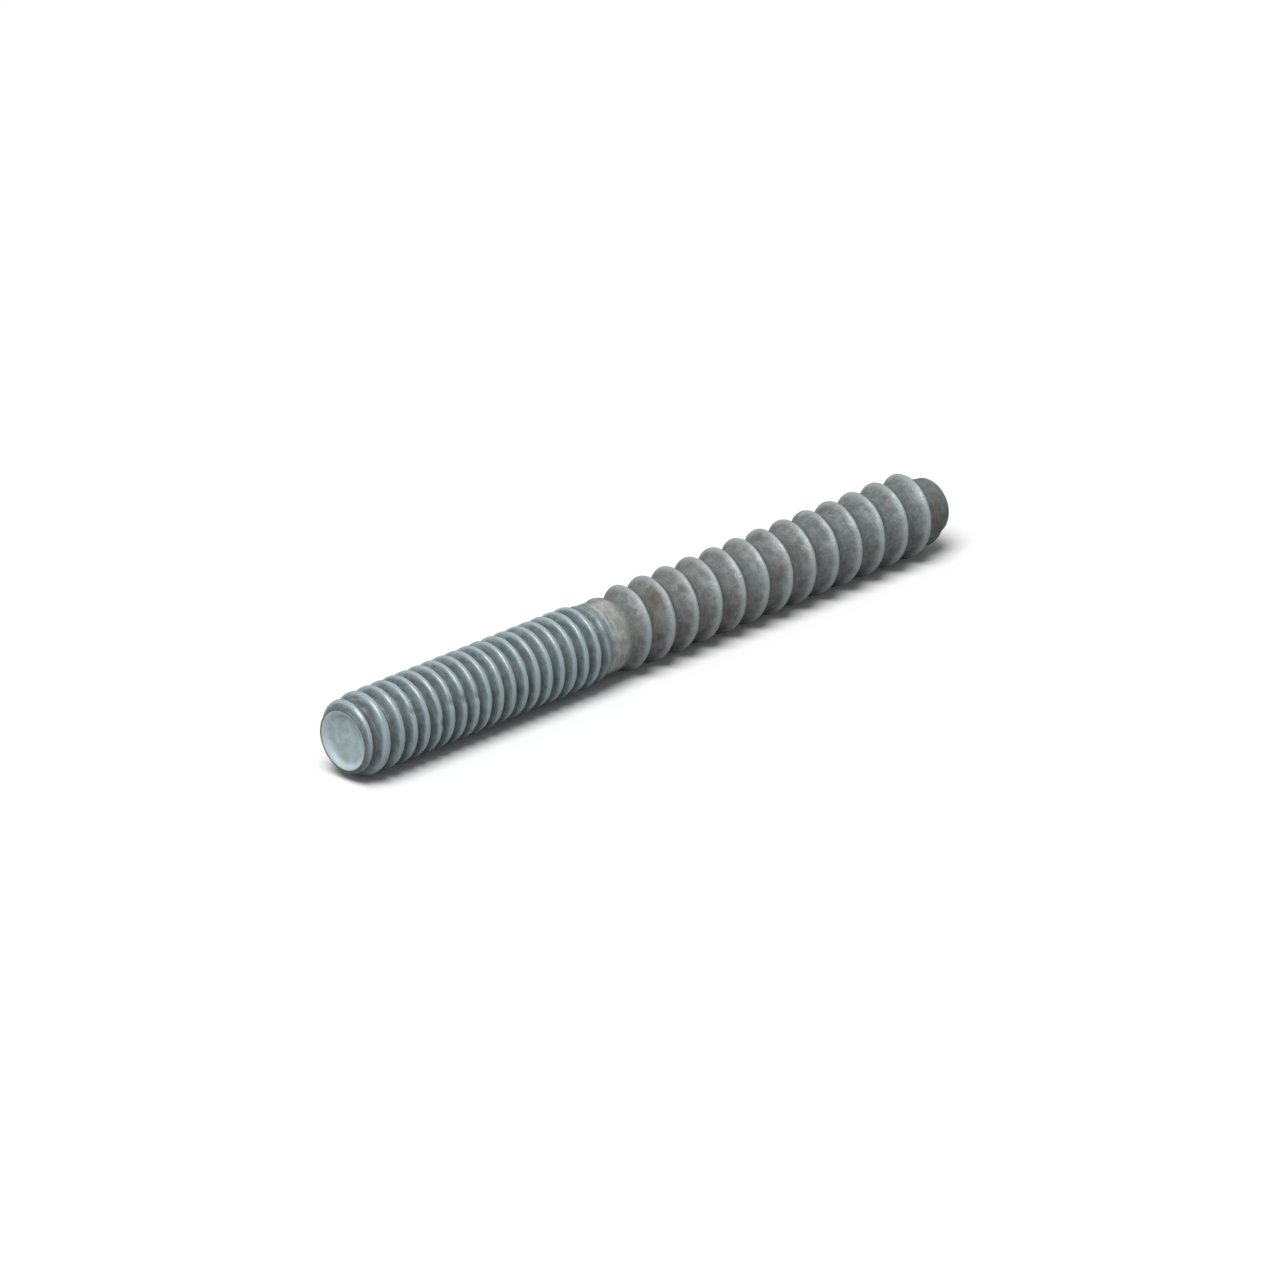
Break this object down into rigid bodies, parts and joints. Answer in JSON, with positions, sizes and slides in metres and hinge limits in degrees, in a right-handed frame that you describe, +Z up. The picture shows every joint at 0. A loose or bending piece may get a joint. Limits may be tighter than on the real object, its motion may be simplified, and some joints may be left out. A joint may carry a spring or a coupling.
{
  "type": "hanger bolt",
  "caption": "Headless steel bolt with a machine-screw thread on one end and a coarse, round-crested wood thread with a blunt tip on the other. Both threads are left-hand.",
  "frame": {"origin": "middle of the bolt's bounding box, on the floor that it lies on", "axes": "+X along the bolt from the machine-screw stud's end face to the tip of the wood thread, +Z up"},
  "size_m": [0.0628, 0.0066, 0.0065],
  "materials": {
    "zinc_plate": "satin zinc plating, blue-grey with brownish stains"
  },
  "bodies": {
    "root": {"hanger_bolt": "zinc_plate"}
  },
  "joints": []
}
